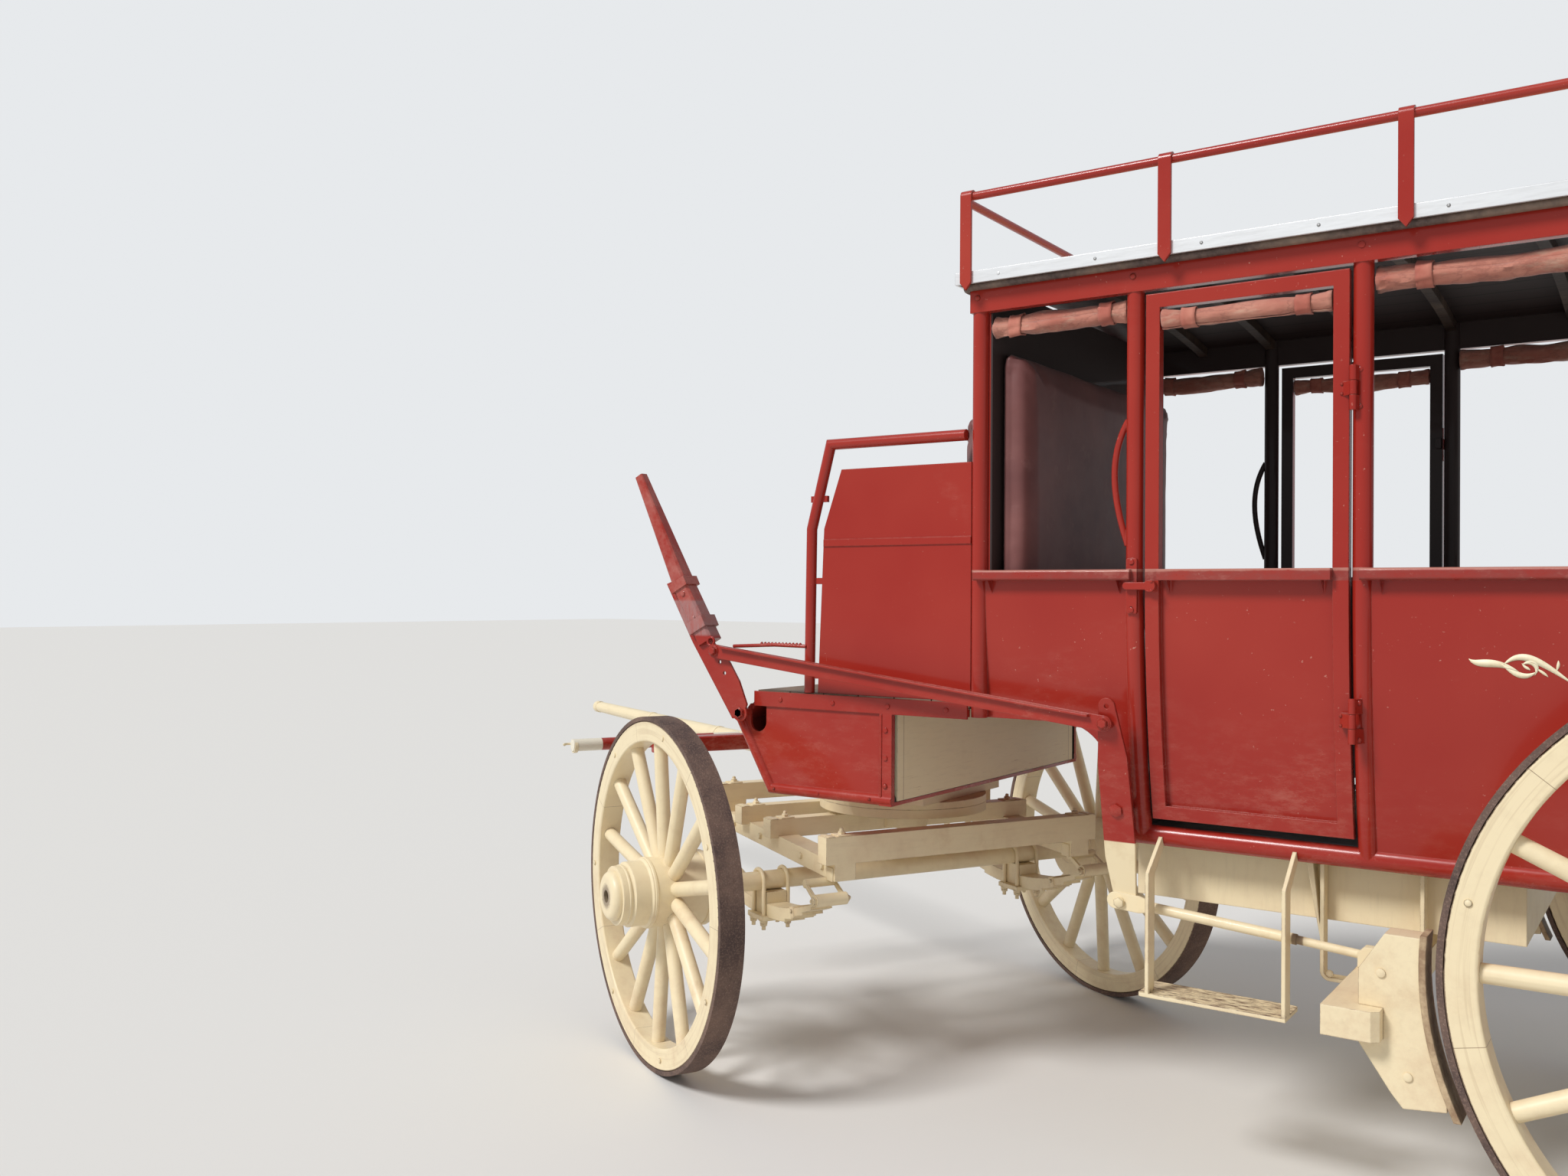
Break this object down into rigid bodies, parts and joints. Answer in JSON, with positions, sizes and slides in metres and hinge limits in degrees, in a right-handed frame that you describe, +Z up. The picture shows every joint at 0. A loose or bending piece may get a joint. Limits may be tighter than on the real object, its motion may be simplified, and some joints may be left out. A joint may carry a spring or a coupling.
{
  "type": "stagecoach",
  "caption": "Passenger stagecoach with a driver's box, roof rack, rolled canvas blinds, spoked wheels, leaf springs and a steered fore-carriage with a draught pole.",
  "frame": {"origin": "on the ground, under the middle of the rear axle, in the coach body's plane of symmetry", "axes": "+X forward, +Y to the coach's left, +Z up"},
  "size_m": [6.3852, 2.7127, 2.732],
  "materials": {
    "red_paint": "gloss",
    "cream_paint": "satin paint",
    "cream_iron": "satin paint",
    "white_paint": "gloss",
    "red_timber": "gloss paint",
    "tread_rubber": "dusty",
    "canvas": "dusty",
    "vinyl": "satin",
    "cabin_board": "varnished",
    "timber": "worn"
  },
  "bodies": {
    "coach_body": {"floor": "cabin_board", "well": "cream_iron", "body_side_left": "red_paint", "body_side_right": "red_paint", "front_wall": "red_timber", "rear_wall": "red_timber", "roof": "cream_paint", "roof_band": "white_paint", "roof_rack": "red_paint", "blinds_left": "canvas", "blinds_right": "canvas", "driver_box": "red_paint", "boot": "red_paint", "boot_back": "cream_paint", "foot_boards": "timber", "cushion_driver": "vinyl", "back_driver": "vinyl", "cushion_front": "vinyl", "back_front": "vinyl", "cushion_rear": "vinyl", "back_rear": "vinyl", "benches": "cabin_board", "step_left": "cream_iron", "step_right": "cream_iron", "rear_axle": "cream_iron", "rear_springs": "cream_iron", "brake_lever": "red_paint", "brake_rods": "cream_iron", "brake_beam": "cream_paint", "brake_blocks": "cream_paint", "turntable_upper": "cream_iron"},
    "fore_carriage": {"fore_frame": "cream_paint", "turntable_lower": "cream_iron", "front_axle": "cream_iron", "front_springs": "cream_iron", "pole": "cream_paint", "splinter_bar": "red_timber", "swingletrees": "red_timber"},
    "front_wheel_left": {"wheel_front_left": "cream_paint", "tyre_front_left": "tread_rubber"},
    "front_wheel_right": {"wheel_front_right": "cream_paint", "tyre_front_right": "tread_rubber"},
    "rear_wheel_left": {"wheel_rear_left": "cream_paint", "tyre_rear_left": "tread_rubber"},
    "rear_wheel_right": {"wheel_rear_right": "cream_paint", "tyre_rear_right": "tread_rubber"},
    "left_door": {"door_left": "red_paint", "door_blind_left": "canvas"},
    "right_door": {"door_right": "red_paint", "door_blind_right": "canvas"}
  },
  "joints": [
    {"name": "steer", "type": "hinge", "parent": "coach_body", "child": "fore_carriage", "pos_m": [2.655, 0, 0.826], "axis": [0, 0, 1], "range_deg": [-8.5, 63.5]},
    {"name": "spin_front_left", "type": "hinge", "parent": "fore_carriage", "child": "front_wheel_left", "pos_m": [3.09135, 0.83822, 0.575], "axis": [0.4617, 0.887, 0], "continuous": true},
    {"name": "spin_front_right", "type": "hinge", "parent": "fore_carriage", "child": "front_wheel_right", "pos_m": [2.21865, -0.83822, 0.575], "axis": [0.4617, 0.887, 0], "continuous": true},
    {"name": "spin_rear_left", "type": "hinge", "parent": "coach_body", "child": "rear_wheel_left", "pos_m": [0, 0.945, 0.745], "axis": [0, 1, 0], "continuous": true},
    {"name": "spin_rear_right", "type": "hinge", "parent": "coach_body", "child": "rear_wheel_right", "pos_m": [0, -0.945, 0.745], "axis": [0, 1, 0], "continuous": true},
    {"name": "left_door_hinge", "type": "hinge", "parent": "coach_body", "child": "left_door", "pos_m": [0.975, 0.712, 1.66], "axis": [0, 0, 1], "range_deg": [0, 80]},
    {"name": "right_door_hinge", "type": "hinge", "parent": "coach_body", "child": "right_door", "pos_m": [0.975, -0.712, 1.66], "axis": [0, 0, -1], "range_deg": [0, 80]}
  ]
}
